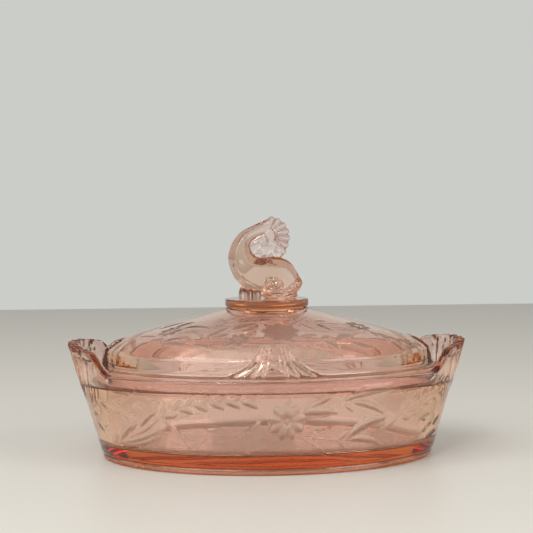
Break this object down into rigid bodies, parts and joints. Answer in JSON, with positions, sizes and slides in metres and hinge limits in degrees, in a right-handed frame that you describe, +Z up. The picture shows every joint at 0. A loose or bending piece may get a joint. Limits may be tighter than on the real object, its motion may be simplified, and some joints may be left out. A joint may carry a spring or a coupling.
{
  "type": "covered candy dish",
  "caption": "Oval covered candy dish of pressed pink glass with fan handles, cut leaf sprays and a domed lid with a dolphin finial.",
  "frame": {"origin": "under the middle of the dish, on the plane of its resting ring", "axes": "+X from handle to handle, towards the end that the dolphin faces; +Z up"},
  "size_m": [0.1648, 0.1138, 0.0998],
  "materials": {
    "pink_glass": "polished, with frosted wheel-cut leaves"
  },
  "bodies": {
    "dish": {"dish": "pink_glass"},
    "lid": {"lid": "pink_glass"}
  },
  "joints": [
    {"name": "lid_lift", "type": "slide", "parent": "dish", "child": "lid", "axis": [0, 0, 1], "range_m": [0, 0.06]}
  ]
}
